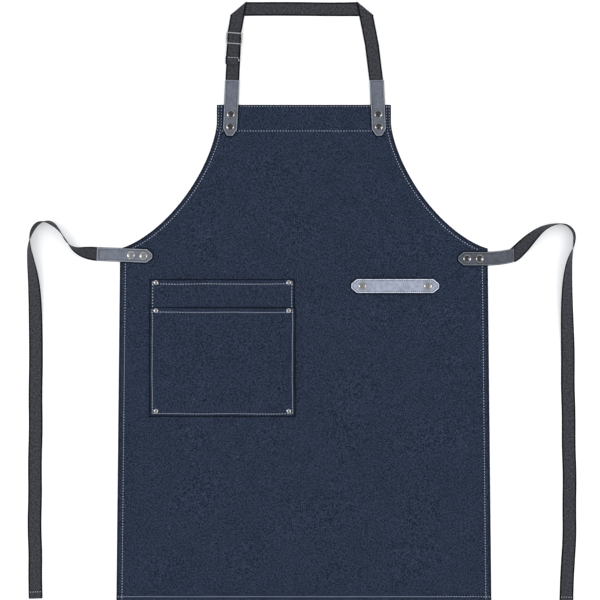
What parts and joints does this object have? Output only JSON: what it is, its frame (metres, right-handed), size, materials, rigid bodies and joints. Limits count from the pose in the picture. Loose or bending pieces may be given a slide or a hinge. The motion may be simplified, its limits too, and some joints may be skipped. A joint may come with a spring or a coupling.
{
  "type": "bib apron",
  "caption": "Denim bib apron laid flat, with leather tabs, an adjustable webbing neck strap, webbing waist ties, a layered pocket and a leather towel loop.",
  "frame": {"origin": "on the table, below the middle of the box round the apron and its neck strap (free ties left out)", "axes": "+X to the right of the bib, +Y up the bib towards the neck strap, +Z away from the table (front of the apron)"},
  "size_m": [0.9891, 1.085, 0.025],
  "materials": {
    "denim": "dark navy twill, matt",
    "facing": "dark navy cotton, matt",
    "webbing": "charcoal cotton webbing, matt",
    "leather": "slate grey, smooth, semi-matt",
    "rivet_metal": "gunmetal nickel, polished dome",
    "small_rivet_metal": "aged nickel",
    "post_metal": "plain brass, hidden",
    "slider_metal": "nickel plated, satin"
  },
  "bodies": {
    "apron": {"apron_panel": "denim", "bib_facing": "facing", "armhole_binding_left": "facing", "armhole_binding_right": "facing", "pocket_back": "denim", "pocket_front": "denim", "pocket_rivet_caps": "small_rivet_metal", "pocket_rivet_posts": "post_metal", "neck_tab_left": "leather", "neck_tab_right": "leather", "waist_tab_left": "leather", "waist_tab_right": "leather", "towel_loop": "leather", "rivet_caps": "rivet_metal", "rivet_posts": "post_metal", "neck_webbing_end_left": "webbing", "neck_webbing_end_right": "webbing", "waist_webbing_end_left": "webbing", "waist_webbing_end_right": "webbing", "waist_tie_left": "webbing", "waist_tie_right": "webbing"},
    "neck_loop": {"neck_strap": "webbing", "slider_webbing": "webbing"},
    "slider": {"slider": "slider_metal"}
  },
  "joints": [
    {"name": "neck_fold", "type": "hinge", "parent": "apron", "child": "neck_loop", "pos_m": [0, 0.403, 0.0048], "axis": [1, 0, 0], "range_deg": [0, 165]},
    {"name": "slider_slide", "type": "slide", "parent": "neck_loop", "child": "slider", "axis": [-0.0448, -0.999, 0], "range_m": [0, 0.018]}
  ]
}
